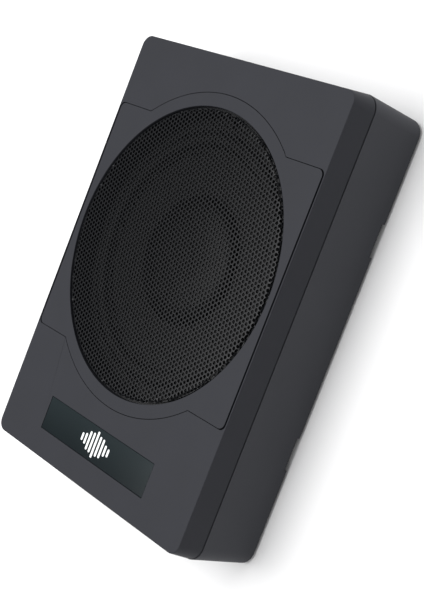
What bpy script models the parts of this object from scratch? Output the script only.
"""Powered under-seat car subwoofer, lying on its back with the grille facing up.

Sizes below are in millimetres and become metres when a mesh is made. +Z points out of the grille,
+Y runs along the length away from the badge, +X is to the right. The origin is on the resting
surface, under the middle of the housing.
"""

import math

import bmesh
import bpy
from mathutils import Matrix

MM = 0.001
GAP = 0.3                       # clearance between pieces that touch on the real thing

# Housing
FACE_Z = 76.0                   # front face of the cover
PARTING_Z = 55.0                # middle of the seam between cover and rear shell
SEAM = 0.8                      # open seam between cover and shell
SHELL_BOTTOM = 1.0
FLOOR_TOP = 4.6
CORNER_STEPS = 5
COVER_OUTSIDE = ((125.2, 175.0, 13.0, PARTING_Z + SEAM / 2), (122.95, 172.2, 8.4, 75.3),
                 (122.5, 171.7, 8.0, FACE_Z))
COVER_INSIDE = ((122.4, 172.2, 10.2, PARTING_Z - 2), (120.6, 169.8, 7.5, 73.0))
SHELL_OUTSIDE = ((122.8, 171.3, 10.5, SHELL_BOTTOM), (124.4, 172.8, 12.0, 2.2), (125.0, 173.6, 12.5, 4.5),
                 (125.6, 175.3, 13.0, PARTING_Z - SEAM / 2))
SHELL_INSIDE = ((122.0, 170.8, 9.5, FLOOR_TOP), (122.8, 172.5, 10.5, 60.0))
STEP_Z = 53.2                   # gasket step round the shell's rim
STEP_HALF = (124.3, 174.0, 11.7)
GASKET_OUTER = (124.0, 173.7, 11.4)
GASKET_INNER = (123.1, 172.8, 10.5)

# Grille: a bezel insert let into the cover, with a formed perforated sheet behind it
DRIVER_Y = 18.7
OPENING_R = 115.1
INSERT_TOP_TO_BOTTOM = (FACE_Z, 73.0)
INSERT_HALF = (121.2, 96.0)
INSERT_ARC_R = 125.6
INSERT_CORNER_R = 5.0
SHOULDER_RISE = 0.3             # the straight ends lean out a little towards the bulge
SIDE_GAP = 0.7
END_GAP = 0.4
WELL_LOW = 68.6
MESH_T = 1.0
MESH_R = 113.6
MESH_FLANGE_R = 117.5
MESH_SEAT_Z = 71.4

# Badge plate
BADGE_HALF_X = 69.0
BADGE_Y = (-151.0, -124.4)
BADGE_Z = (74.5, 75.8)

# Fasteners and feet
SCREW_SPOTS = ((-110, 160), (110, 160), (-113, -107), (113, -107), (-110, -160), (110, -160))
FOOT_SPOTS = {"front_left": (-92, -132), "front_right": (92, -132),
              "rear_left": (-92, 132), "rear_right": (92, 132)}
FOOT_R = 9.0
FOOT_H = 1.5
NOTCH_Y = 83.2
NOTCH_W = 25.4
NOTCH_DEPTH = 2.0
NOTCH_IN = 26.0
BRACKET_X = 112.0
BRACKET_BOSS_TOP = 14.0

# Driver, turned about its own axis
FLANGE_R = 111.5
FLANGE_Z = (54.8, 57.8)
LEDGE_Z = (51.5, 54.5)
LEDGE_R = 99.3
SKIRT_R = (112.6, 115.2)
DRIVER_SCREW_R = 108.3
CONE_R = 86.5
ROLL_R = 93.0
ROLL_SIZE = 6.3
CAP_R = 51.0
FORMER_R = (24.6, 25.1)
COIL_R = (25.4, 27.2)
COIL_Z = (19.3, 34.3)
POLE_R = 23.8
GAP_R = 28.2
PLATE_R = 56.0
MAGNET_R = 60.0
YOKE_Z = 5.2
ROUND_STEPS = 32
SHARP_ANGLE = 35

# Amplifier
BOARD = ((-100, -161, 9.8), (100, -103, 11.4))
ON_BOARD = 11.7
STANDOFF_SPOTS = ((-92, -156), (92, -156), (-92, -108), (92, -108))

# Control panel: a tray behind a window in the end wall
WINDOW = ((-92, -185, 8.4), (92, -165, 45.6))
TRAY = ((-95, -170.4, 6.0), (95, -162.4, 48.0))
TRAY_HOLLOW = ((-92.5, -175, 8.5), (92.5, -164.4, 45.5))
ROW_Z = 27.0
KNOBS = {"gain_knob": 58.0, "crossover_knob": 71.0, "bass_boost_knob": 84.0}
KNOB_R = 4.6
SHAFT_R = 3.0
JACKS = {"rca_jack_left": -6.0, "rca_jack_right": 10.0}
JACK_R = 4.1
LED_X = 40.0
SWITCH_X = 47.5
SWITCH_TRAVEL = 2.5
POWER_BOX = ((-85, -166, 19), (-59, -148, 35))
HIGH_BOX = ((-33, -166, 20), (-15, -150, 34))
REMOTE_BOX = ((21, -166, 19.5), (35, -150, 34))
FUSE_X = -46.0
FUSE_BOX = ((-51, -168, 15), (-41, -150, 39))


# ---------------------------------------------------------------- scene, materials and modifiers

def empty_scene():
    """Remove what is in the file and make one collection for the parts and one for the cutters."""
    for old in list(bpy.data.objects):
        bpy.data.objects.remove(old, do_unlink=True)
    groups = []
    for name in ("powered_subwoofer", "cutters"):
        group = bpy.data.collections.new(name)
        bpy.context.scene.collection.children.link(group)
        groups.append(group)
    return groups


PARTS, CUTTERS = empty_scene()


def finish(name, colour, roughness, metallic=0.0):
    """A Principled material with one colour."""
    material = bpy.data.materials.new(name)
    material.use_nodes = True
    shader = material.node_tree.nodes["Principled BSDF"]
    shader.inputs["Base Color"].default_value = (*colour, 1.0)
    shader.inputs["Roughness"].default_value = roughness
    shader.inputs["Metallic"].default_value = metallic
    return material


COVER_PAINT = finish("satin_grey_paint", (0.056, 0.061, 0.070), 0.55)
SHELL_PAINT = finish("powder_coated_casting", (0.045, 0.046, 0.052), 0.6, 0.3)
MESH_STEEL = finish("black_steel_sheet", (0.03, 0.032, 0.035), 0.5, 0.6)
ACRYLIC = finish("smoked_acrylic", (0.025, 0.036, 0.038), 0.15)
RUBBER = finish("black_rubber", (0.012, 0.012, 0.013), 0.75)
PAPER = finish("black_cone_paper", (0.02, 0.02, 0.021), 0.7)
CAP_PLASTIC = finish("cap_plastic", (0.03, 0.03, 0.032), 0.35)
SPIDER_CLOTH = finish("spider_cloth", (0.45, 0.30, 0.10), 0.85)
FORMER_FOIL = finish("aluminium_former", (0.6, 0.6, 0.62), 0.35, 1.0)
COPPER = finish("copper_wire", (0.75, 0.32, 0.16), 0.3, 1.0)
STEEL = finish("zinc_steel", (0.5, 0.5, 0.52), 0.35, 1.0)
FERRITE = finish("ferrite", (0.03, 0.03, 0.033), 0.55)
BASKET_PAINT = finish("basket_paint", (0.015, 0.015, 0.016), 0.5, 0.4)
BLACK_STEEL = finish("black_oxide_steel", (0.02, 0.02, 0.021), 0.4, 0.8)
BOARD_GREEN = finish("board_laminate", (0.02, 0.09, 0.04), 0.5)
BLACK_PLASTIC = finish("black_plastic", (0.015, 0.015, 0.016), 0.5)
CAN_SLEEVE = finish("capacitor_sleeve", (0.02, 0.03, 0.08), 0.35)
ALUMINIUM = finish("aluminium_bar", (0.7, 0.7, 0.72), 0.4, 1.0)
GOLD = finish("gold_plate", (0.8, 0.6, 0.25), 0.25, 1.0)
FUSE_PLASTIC = finish("fuse_plastic", (0.6, 0.45, 0.02), 0.3)
LED_LENS = finish("led_lens", (0.05, 0.15, 0.4), 0.2)
WIRE_RED = finish("red_wire", (0.45, 0.02, 0.02), 0.45)
WIRE_BLACK = finish("black_wire", (0.015, 0.015, 0.015), 0.5)


def keep(name, mesh, material, at=(0, 0, 0)):
    """Put a mesh in the file: a part when it has a material, otherwise a cutter or a guide."""
    obj = bpy.data.objects.new(name, mesh)
    obj.location = [value * MM for value in at]
    if material is None:
        CUTTERS.objects.link(obj)
        obj.hide_render = True
        obj.display_type = "WIRE"
        return obj
    PARTS.objects.link(obj)
    mesh.materials.append(material)
    if mesh.polygons:
        mesh.shade_smooth()
        mesh.set_sharp_from_angle(angle=math.radians(SHARP_ANGLE))
    return obj


def to_object(name, bm, material=None):
    """Turn a bmesh drawn in millimetres into an object in metres."""
    bmesh.ops.recalc_face_normals(bm, faces=bm.faces)
    mesh = bpy.data.meshes.new(name)
    bm.to_mesh(mesh)
    bm.free()
    mesh.transform(Matrix.Scale(MM, 4))
    return keep(name, mesh, material)


def combine(obj, other, operation):
    step = obj.modifiers.new(f"{operation.lower()}_{other.name}", "BOOLEAN")
    step.operation = operation
    step.solver = "EXACT"
    step.object = other


def cut(obj, *cutters):
    for cutter in cutters:
        combine(obj, cutter, "DIFFERENCE")


def join(obj, *extras):
    for extra in extras:
        combine(obj, extra, "UNION")


# ---------------------------------------------------------------- shapes

def add_box(bm, low, high):
    middle = [(a + b) / 2 for a, b in zip(low, high)]
    size = [b - a for a, b in zip(low, high)]
    place = Matrix.Translation(middle) @ Matrix.Diagonal((*size, 1.0))
    bmesh.ops.create_cube(bm, size=1.0, matrix=place)


def add_rod(bm, radius, low, high, spot, along="Z", sides=12):
    """A cylinder from low to high along Z through (x, y), or along Y through (x, z)."""
    middle = (low + high) / 2
    place = Matrix.Translation((spot[0], spot[1], middle))
    if along == "Y":
        place = Matrix.Translation((spot[0], middle, spot[1])) @ Matrix.Rotation(math.radians(90), 4, "X")
    bmesh.ops.create_cone(bm, cap_ends=True, segments=sides, radius1=radius, radius2=radius,
                          depth=high - low, matrix=place)


def box(name, low, high, material=None):
    bm = bmesh.new()
    add_box(bm, low, high)
    return to_object(name, bm, material)


def boxes(name, pairs):
    """One cutter or guide made of several separate boxes."""
    bm = bmesh.new()
    for low, high in pairs:
        add_box(bm, low, high)
    return to_object(name, bm)


def rods(name, radius, low, high, spots, along="Z", sides=12):
    """One cutter or guide made of equal cylinders at several places."""
    bm = bmesh.new()
    for spot in spots:
        add_rod(bm, radius, low, high, spot, along, sides)
    return to_object(name, bm)


def rounded_ring(half_x, half_y, radius, z):
    """Points round a rectangle with round corners."""
    points = []
    for quarter, (sign_x, sign_y) in enumerate(((1, 1), (-1, 1), (-1, -1), (1, -1))):
        for step in range(CORNER_STEPS + 1):
            angle = math.radians(90 * (quarter + step / CORNER_STEPS))
            points.append((sign_x * (half_x - radius) + radius * math.cos(angle),
                           sign_y * (half_y - radius) + radius * math.sin(angle), z))
    return points


def loft(name, sections, material=None):
    """A closed body through round-cornered rectangles of different sizes, from low to high."""
    bm = bmesh.new()
    rows = [[bm.verts.new(point) for point in rounded_ring(*section)] for section in sections]
    for lower, upper in zip(rows, rows[1:]):
        for i in range(len(lower)):
            j = (i + 1) % len(lower)
            bm.faces.new((lower[i], lower[j], upper[j], upper[i]))
    bm.faces.new(rows[0][::-1])
    bm.faces.new(rows[-1])
    return to_object(name, bm, material)


def turned(name, profile, material=None, at=(0, DRIVER_Y, 0), steps=ROUND_STEPS, closed=True, along_y=False):
    """Spin a profile of (radius, height) points, given clockwise, about the local Z axis."""
    bm = bmesh.new()
    verts = [bm.verts.new((radius, 0, height)) for radius, height in profile]
    for a, b in zip(verts, verts[1:]):
        bm.edges.new((a, b))
    if closed:
        bm.edges.new((verts[-1], verts[0]))
    mesh = bpy.data.meshes.new(name)
    bm.to_mesh(mesh)
    bm.free()
    mesh.transform(Matrix.Scale(MM, 4))
    obj = keep(name, mesh, material, at)
    if along_y:
        obj.rotation_euler = (math.radians(90), 0, 0)
    screw = obj.modifiers.new("turn", "SCREW")
    screw.axis = "Z"
    screw.angle = math.tau
    screw.steps = steps
    screw.render_steps = steps
    screw.use_merge_vertices = True
    screw.merge_threshold = 0.00001
    screw.use_smooth_shade = True
    return obj


def plate(name, outline, low, high, material=None):
    """A flat plate from a closed outline, made a mesh."""
    curve = bpy.data.curves.new(name, "CURVE")
    curve.dimensions = "2D"
    curve.fill_mode = "BOTH"
    curve.extrude = (high - low) / 2 * MM
    spline = curve.splines.new("POLY")
    spline.points.add(len(outline) - 1)
    for point, (x, y) in zip(spline.points, outline):
        point.co = (x * MM, y * MM, 0, 1)
    spline.use_cyclic_u = True
    return curve_to_mesh(name, curve, (0, 0, (low + high) / 2 * MM), material)


def curve_to_mesh(name, curve, place, material):
    """Make a curve a mesh and weld its caps."""
    drawn = bpy.data.objects.new(name + "_curve", curve)
    bpy.context.scene.collection.objects.link(drawn)
    bpy.context.view_layer.update()
    mesh = bpy.data.meshes.new_from_object(drawn.evaluated_get(bpy.context.evaluated_depsgraph_get()))
    bpy.data.objects.remove(drawn, do_unlink=True)
    bm = bmesh.new()
    bm.from_mesh(mesh)
    bmesh.ops.remove_doubles(bm, verts=bm.verts, dist=0.00001)
    bmesh.ops.recalc_face_normals(bm, faces=bm.faces)
    bmesh.ops.translate(bm, verts=bm.verts, vec=place)
    bm.to_mesh(mesh)
    bm.free()
    mesh.name = name
    return keep(name, mesh, material)


def wire(name, route, radius, material):
    """A round wire along a list of points."""
    curve = bpy.data.curves.new(name, "CURVE")
    curve.dimensions = "3D"
    curve.bevel_depth = radius * MM
    curve.bevel_resolution = 2
    curve.use_fill_caps = True
    spline = curve.splines.new("POLY")
    spline.points.add(len(route) - 1)
    for point, place in zip(spline.points, route):
        point.co = (*[value * MM for value in place], 1)
    return curve_to_mesh(name, curve, (0, 0, 0), material)


def arc(radius, start, end, steps, centre=(0, 0)):
    """Points along an arc, angles in degrees."""
    points = []
    for step in range(steps + 1):
        angle = math.radians(start + (end - start) * step / steps)
        points.append((centre[0] + radius * math.cos(angle), centre[1] + radius * math.sin(angle)))
    return points


def insert_outline(half_x, half_y, bulge_r):
    """The bezel's outline: a rectangle with two round bulges that follow the grille."""
    corner = INSERT_CORNER_R
    shoulder = math.degrees(math.asin((half_y + SHOULDER_RISE) / bulge_r))
    upper = arc(corner, 0, 90, 3, (half_x - corner, half_y - corner))
    upper += arc(bulge_r, shoulder, 180 - shoulder, 14)
    upper += arc(corner, 90, 180, 3, (corner - half_x, half_y - corner))
    lower = [(-x, -y) for x, y in upper]
    return [(x, y + DRIVER_Y) for x, y in upper + lower]


# ---------------------------------------------------------------- housing

def driver_screw_spots():
    return [(x, y + DRIVER_Y) for x, y in arc(DRIVER_SCREW_R, 30, 330, 5)]


def front_cover():
    """Moulded cover: flared sides, a well for the grille insert and a skirt that carries the driver."""
    cover = loft("front_cover", COVER_OUTSIDE, COVER_PAINT)
    cut(cover, loft("cover_hollow", COVER_INSIDE))
    well = insert_outline(122.3, INSERT_HALF[1] + 3, INSERT_ARC_R + 3.4)
    inner = SKIRT_R[0]
    skirt = [(SKIRT_R[1], 70.5), (SKIRT_R[1], LEDGE_Z[0]), (LEDGE_R, LEDGE_Z[0]), (LEDGE_R, LEDGE_Z[1]),
             (inner, LEDGE_Z[1]), (inner, 70.5)]
    join(cover, plate("grille_well", well, WELL_LOW, 73.5), turned("driver_skirt", skirt, steps=40),
         rods("cover_bosses", 4.5, 54.9, 74.0, SCREW_SPOTS))
    pocket = insert_outline(INSERT_HALF[0] + SIDE_GAP, INSERT_HALF[1] + END_GAP, INSERT_ARC_R + END_GAP)
    badge_low = (-BADGE_HALF_X - GAP, BADGE_Y[0] - GAP, BADGE_Z[0] - GAP)
    badge_high = (BADGE_HALF_X + GAP, BADGE_Y[1] + GAP, 80)
    cut(cover, plate("insert_pocket", pocket, INSERT_TOP_TO_BOTTOM[1] - GAP, 80),
        rods("mesh_seat", MESH_FLANGE_R + 0.5, MESH_SEAT_Z, 74, [(0, DRIVER_Y)], sides=48),
        rods("speaker_opening", 112.0, 67, 72, [(0, DRIVER_Y)], sides=40),
        box("badge_recess", badge_low, badge_high),
        rods("cover_pilot_holes", 1.8, 50, 66, SCREW_SPOTS, sides=8),
        rods("driver_pilot_holes", 1.6, 50, 56, driver_screw_spots(), sides=8))


def rear_shell():
    """Die-cast tray with screw posts, bracket notches and a window for the controls."""
    shell = loft("rear_shell", SHELL_OUTSIDE, SHELL_PAINT)
    cut(shell, loft("shell_hollow", SHELL_INSIDE),
        loft("gasket_step", ((*STEP_HALF, STEP_Z), (*STEP_HALF, 62.0))))
    bracket_spots = [(x, y) for x in (-BRACKET_X, BRACKET_X) for y in (-NOTCH_Y, NOTCH_Y)]
    join(shell, rods("screw_posts", 5.5, 3.0, 54.4, SCREW_SPOTS),
         rods("bracket_bosses", 5.5, 3.4, BRACKET_BOSS_TOP, bracket_spots),
         rods("board_standoffs", 3.0, 3.6, BOARD[0][2] - GAP, STANDOFF_SPOTS, sides=12))
    notches = []
    for side in (-1, 1):
        near, far = sorted((side * (126 - NOTCH_IN), side * 130))
        for y in (-NOTCH_Y, NOTCH_Y):
            notches.append(((near, y - NOTCH_W / 2, -1), (far, y + NOTCH_W / 2, SHELL_BOTTOM + NOTCH_DEPTH)))
    cut(shell, boxes("bracket_notches", notches),
        rods("counterbores", 4.2, -1, 40, SCREW_SPOTS),
        rods("post_bores", 2.2, 39, 58, SCREW_SPOTS, sides=8),
        rods("bracket_holes", 2.1, 0, 12, bracket_spots, sides=8),
        rods("foot_recesses", FOOT_R + 0.4, -1, FOOT_H + GAP, FOOT_SPOTS.values(), sides=18),
        box("control_window", *WINDOW))


def seam_gasket():
    gasket = loft("seam_gasket", ((*GASKET_OUTER, STEP_Z + GAP), (*GASKET_OUTER, 55.1)), RUBBER)
    cut(gasket, loft("gasket_inside", ((*GASKET_INNER, 50.0), (*GASKET_INNER, 60.0))))


def grille():
    """The bezel insert, and the perforated sheet formed to a shallow dish with a flange under it."""
    outline = insert_outline(*INSERT_HALF, INSERT_ARC_R)
    bezel = plate("grille_bezel", outline, INSERT_TOP_TO_BOTTOM[1], FACE_Z, COVER_PAINT)
    cut(bezel, rods("grille_opening", OPENING_R, 70, 80, [(0, DRIVER_Y)], sides=64))
    flange_top = MESH_SEAT_Z + GAP + MESH_T
    sheet = [(0, FACE_Z), (MESH_R - 2.0, FACE_Z), (MESH_R - 0.6, FACE_Z - 0.6), (MESH_R, FACE_Z - 2.0),
             (MESH_R, flange_top), (MESH_FLANGE_R, flange_top), (MESH_FLANGE_R, flange_top - MESH_T),
             (MESH_R - 1.0, flange_top - MESH_T), (MESH_R - 1.0, FACE_Z - 2.1),
             (MESH_R - 1.5, FACE_Z - 1.4), (MESH_R - 2.3, FACE_Z - MESH_T), (0, FACE_Z - MESH_T)]
    turned("grille_mesh", sheet, MESH_STEEL, steps=48, closed=False)


def badge_plate():
    badge = box("badge_plate", (-BADGE_HALF_X, BADGE_Y[0], BADGE_Z[0]), (BADGE_HALF_X, BADGE_Y[1], BADGE_Z[1]),
                ACRYLIC)
    edge = badge.modifiers.new("edge", "BEVEL")
    edge.width = 0.25 * MM
    edge.segments = 1


def housing_fasteners():
    for number, spot in enumerate(SCREW_SPOTS, 1):
        profile = [(0, 64), (1.5, 64), (1.5, 39.7), (3.6, 39.7), (3.6, 36.7), (0, 36.7)]
        turned(f"housing_screw_{number}", profile, BLACK_STEEL, (*spot, 0), 12, closed=False)
    for corner, spot in FOOT_SPOTS.items():
        profile = [(0, FOOT_H), (FOOT_R, FOOT_H), (FOOT_R, 0.4), (FOOT_R - 0.6, 0), (0, 0)]
        turned(f"foot_{corner}", profile, RUBBER, (*spot, 0), 18, closed=False)


# ---------------------------------------------------------------- driver

def driver_basket():
    """Pressed-steel frame: screw flange, slanted wall with windows, spider landing and base ring."""
    low, high = FLANGE_Z
    profile = [(FLANGE_R, high), (FLANGE_R, low), (98.6, low), (96.6, 50.6), (61.5, 32.0), (57.0, 30.1),
               (29.5, 30.1), (29.5, 32.1), (50.5, 32.1), (50.5, 36.4), (56.0, 36.4), (59.0, 34.0),
               (95.6, 53.0), (99.8, high)]
    basket = turned("driver_basket", profile, BASKET_PAINT)
    bm = bmesh.new()
    for window in range(6):
        turn = Matrix.Rotation(math.radians(60 * window), 4, "Z")
        place = Matrix.Translation((0, DRIVER_Y, 0)) @ turn @ Matrix.Translation((78, 0, 42))
        bmesh.ops.create_cube(bm, size=1.0, matrix=place @ Matrix.Diagonal((28, 54, 34, 1)))
    cut(basket, to_object("basket_windows", bm),
        rods("flange_holes", 1.7, 50, 60, driver_screw_spots(), sides=8))


def suspension():
    """Half-roll surround and corrugated spider: the two soft rings that centre the cone."""
    outer = arc(ROLL_SIZE, 0, 180, 7, (ROLL_R, 58.2))
    inner = arc(ROLL_SIZE - 1.0, 180, 0, 7, (ROLL_R, 58.2))
    lip_in, lip_out = 84.0, 104.8
    surround = [(lip_out, 59.1), (lip_out, 58.1), (ROLL_R + ROLL_SIZE - 1.0, 58.1)]
    surround += [(r, z) for r, z in inner[::-1] if 58.3 < z]
    surround += [(ROLL_R - ROLL_SIZE + 1.0, 58.3), (lip_in, 58.3), (lip_in, 59.3),
                 (ROLL_R - ROLL_SIZE - GAP, 59.3)]
    surround += [(r, z) for r, z in outer[::-1] if 59.35 < z] + [(ROLL_R + ROLL_SIZE + GAP, 59.1)]
    turned("surround", surround, RUBBER, steps=36)
    waves = 4
    top = []
    for step in range(2 * waves + 1):
        radius = 29 + 20 * step / (2 * waves)
        top.append((radius, 38.2 + 1.4 * (-1) ** step))
    top = [(25.5, 38.2)] + top + [(54.5, 37.6)]
    under = [(radius, height - 0.8) for radius, height in top]
    turned("spider", top + under[::-1], SPIDER_CLOTH, steps=24)


def diaphragm():
    """Everything that moves with the cone."""
    cone = [(CONE_R, 58.0), (CONE_R, 56.8), (50.0, 50.8), (25.4, 44.3), (25.4, 45.6), (50.0, 52.0)]
    turned("cone", cone, PAPER)
    outside = [(0, 64.0), (20, 63.4), (35, 61.8), (45, 59.4), (49.2, 56.8), (CAP_R, 53.0)]
    inside = [(CAP_R - 1.2, 52.8), (48.0, 56.2), (44.4, 58.5), (34.7, 60.8), (20, 62.4), (0, 63.0)]
    turned("dust_cap", outside + inside, CAP_PLASTIC, closed=False)
    low, high = COIL_Z
    turned("voice_coil_former", [(FORMER_R[1], 46.5), (FORMER_R[1], low), (FORMER_R[0], low), (FORMER_R[0], 46.5)],
           FORMER_FOIL)
    turned("voice_coil", [(COIL_R[1], high), (COIL_R[1], low), (COIL_R[0], low), (COIL_R[0], high)],
           COPPER)


def motor():
    """Ferrite magnet between a front plate and a yoke with its centre pole."""
    yoke_top, magnet_top, plate_top = YOKE_Z + 6.0, YOKE_Z + 18.3, YOKE_Z + 24.6
    turned("pole_yoke", [(0, plate_top), (POLE_R, plate_top), (POLE_R, yoke_top), (PLATE_R, yoke_top),
                         (PLATE_R, YOKE_Z), (0, YOKE_Z)], STEEL, closed=False)
    turned("ferrite_magnet", [(MAGNET_R, magnet_top), (MAGNET_R, yoke_top + GAP), (31, yoke_top + GAP),
                              (31, magnet_top)], FERRITE)
    turned("top_plate", [(PLATE_R, plate_top), (PLATE_R, magnet_top + GAP), (GAP_R, magnet_top + GAP),
                         (GAP_R, plate_top)], STEEL)


def driver_trim():
    turned("driver_trim_ring", [(104.8, 61.0), (104.8, 59.4), (100.6, 59.4), (100.6, 61.0)], RUBBER)
    for number, spot in enumerate(driver_screw_spots(), 1):
        profile = [(0, 60.3), (2.0, 60.3), (3.0, 59.3), (3.0, 58.1), (1.3, 58.1), (1.3, 49.5), (0, 49.5)]
        turned(f"driver_screw_{number}", profile, BLACK_STEEL, (*spot, 0), 12, closed=False)
    strip = box("terminal_strip", (-9, -73.3, 36.0), (9, -67.3, 44.4), BLACK_PLASTIC)
    tabs = [((x - 2.4, -80.0, 38.0), (x + 2.4, -70.0, 38.8)) for x in (-5, 5)]
    join(strip, boxes("solder_tabs", tabs))
    for name, x, material in (("positive", -5, WIRE_RED), ("negative", 5, WIRE_BLACK)):
        route = [(x, -80.5, 37.0), (x, -83, 36.4), (x * 1.1, -88, 34.5), (x * 1.3, -94, 30.5),
                 (x * 1.5, -100, 25.0), (x * 1.6, -104, 20.0), (x * 1.6, -106, 16.0), (x * 1.6, -106, ON_BOARD)]
        wire(f"speaker_lead_{name}", route, 1.1, material)


# ---------------------------------------------------------------- amplifier

def amplifier():
    """The amplifier board with its power parts, lying on posts at the badge end."""
    box("amp_board", *BOARD, BOARD_GREEN)
    bm = bmesh.new()
    bmesh.ops.create_circle(bm, segments=10, radius=5.5,
                            matrix=Matrix.Translation((14, 0, 0)) @ Matrix.Rotation(math.radians(90), 4, "X"))
    ring = sorted(((v.co.x, v.co.z) for v in bm.verts), key=lambda p: -math.atan2(p[1], p[0] - 14))
    bm.free()
    turned("toroid_inductor", ring, COPPER, (44, -126, ON_BOARD + 5.5), 20)
    core = box("power_transformer", (-18, -138, ON_BOARD), (18, -112, 34), FERRITE)
    join(core, rods("transformer_winding", 11.5, 14, 31, [(0, -125)], sides=20),
         box("winding_block", (-12, -142, 15), (12, -108.5, 30)))
    for number, y in enumerate((-116, -136), 1):
        profile = [(0, 42.0), (7.4, 42.0), (8.0, 41.4), (8.0, ON_BOARD), (0, ON_BOARD)]
        turned(f"capacitor_{number}", profile, CAN_SLEEVE, (-52, y, 0), 20, closed=False)
    box("heat_spreader", (70, -150, ON_BOARD), (75, -106, 33), ALUMINIUM)
    for number, y in enumerate((-137, -119), 1):
        box(f"transistor_{number}", (75.3, y - 5, 13.5), (79.8, y + 5, 29), BLACK_PLASTIC)


# ---------------------------------------------------------------- controls

def grown(low, high, by):
    return [value - by for value in low], [value + by for value in high]


def control_panel():
    panel = box("control_panel", *TRAY, BLACK_PLASTIC)
    slot = ((SWITCH_X - 1.7, -166, ROW_Z - 2.1), (SWITCH_X + 1.7 + SWITCH_TRAVEL, -160, ROW_Z + 2.1))
    windows = [grown(*place, GAP) for place in (POWER_BOX, HIGH_BOX, REMOTE_BOX, FUSE_BOX)]
    cut(panel, box("tray_hollow", *TRAY_HOLLOW), boxes("panel_windows", windows + [slot]),
        rods("knob_holes", SHAFT_R + 0.4, -166, -160, [(x, ROW_Z) for x in KNOBS.values()], "Y"),
        rods("jack_holes", JACK_R + 0.4, -166, -160, [(x, ROW_Z) for x in JACKS.values()], "Y", 20),
        rods("led_hole", 1.8, -166, -160, [(LED_X, ROW_Z)], "Y", 12))


def knobs():
    """Slotted adjusters, each turning about its own shaft along Y."""
    for name, x in KNOBS.items():
        profile = [(0, 173.0), (KNOB_R - 0.6, 173.0), (KNOB_R, 172.2), (KNOB_R, 164.8), (SHAFT_R, 164.8),
                   (SHAFT_R, 158.0), (0, 158.0)]
        knob = turned(name, profile, BLACK_PLASTIC, (x, 0, ROW_Z), 24, closed=False, along_y=True)
        cut(knob, box(name + "_slot", (x - 0.6, -174, ROW_Z - 3.4), (x + 0.6, -171.8, ROW_Z + 3.4)))


def switch_and_lamp():
    low = (SWITCH_X - 1.3, -168.0, ROW_Z - 1.7)
    box("phase_switch", low, (SWITCH_X + 1.3, -161.0, ROW_Z + 1.7), BLACK_PLASTIC)
    box("phase_switch_body", (SWITCH_X - 4, -160.7, ROW_Z - 4), (SWITCH_X + 6.5, -154, ROW_Z + 4), STEEL)
    profile = [(0, 165.6), (0.8, 165.4), (1.5, 164.6), (1.5, 158.0), (0, 158.0)]
    turned("power_led", profile, LED_LENS, (LED_X, 0, ROW_Z), 12, closed=False, along_y=True)


def signal_jacks():
    for name, x in JACKS.items():
        profile = [(0, 164.0), (1.6, 164.0), (1.6, 173.2), (JACK_R, 173.2), (JACK_R, 156.0), (0, 156.0)]
        turned(name, profile, GOLD, (x, 0, ROW_Z), 20, closed=False, along_y=True)


def socket(name, place, wall, depth, pins):
    """A moulded socket, open to -Y, with square pins standing up from its floor."""
    low, high = place
    body = box(name, low, high, BLACK_PLASTIC)
    floor = low[1] + depth
    cut(body, box(name + "_mouth", (low[0] + wall, low[1] - 5, low[2] + wall),
                  (high[0] - wall, floor, high[2] - wall)))
    pin_boxes = [((x - 0.7, floor - 5, z - 0.7), (x + 0.7, floor + 1, z + 0.7)) for x, z in pins]
    join(body, boxes(name + "_pins", pin_boxes))


def sockets():
    middle = (POWER_BOX[0][0] + POWER_BOX[1][0]) / 2
    socket("power_connector", POWER_BOX, 2.0, 11.0, [(middle + step, ROW_Z) for step in (-7, 0, 7)])
    middle = (HIGH_BOX[0][0] + HIGH_BOX[1][0]) / 2
    socket("high_level_socket", HIGH_BOX, 2.0, 11.0,
           [(middle + x, ROW_Z + z) for x in (-3.5, 3.5) for z in (-2.5, 2.5)])
    middle = (REMOTE_BOX[0][0] + REMOTE_BOX[1][0]) / 2
    socket("remote_jack", REMOTE_BOX, 2.2, 11.0, [(middle + step, ROW_Z - 3) for step in (-3, 0, 3)])


def fuse_and_holder():
    holder = box("fuse_holder", *FUSE_BOX, BLACK_PLASTIC)
    slots = [((FUSE_X - 0.8, -162, z - 3.0), (FUSE_X + 0.8, -151.5, z + 3.0)) for z in (ROW_Z - 5, ROW_Z + 5)]
    cut(holder, box("fuse_mouth", (FUSE_X - 3.0, -172, ROW_Z - 10), (FUSE_X + 3.0, -159, ROW_Z + 10)),
        boxes("blade_slots", slots))
    body = box("fuse", (FUSE_X - 2.6, -171.5, ROW_Z - 9.5), (FUSE_X + 2.6, -159.4, ROW_Z + 9.5), FUSE_PLASTIC)
    blades = [((FUSE_X - 0.4, -161, z - 2.6), (FUSE_X + 0.4, -152.2, z + 2.6)) for z in (ROW_Z - 5, ROW_Z + 5)]
    join(body, boxes("fuse_blades", blades))


front_cover()
rear_shell()
seam_gasket()
grille()
badge_plate()
housing_fasteners()
driver_basket()
suspension()
diaphragm()
motor()
driver_trim()
amplifier()
control_panel()
knobs()
switch_and_lamp()
signal_jacks()
sockets()
fuse_and_holder()
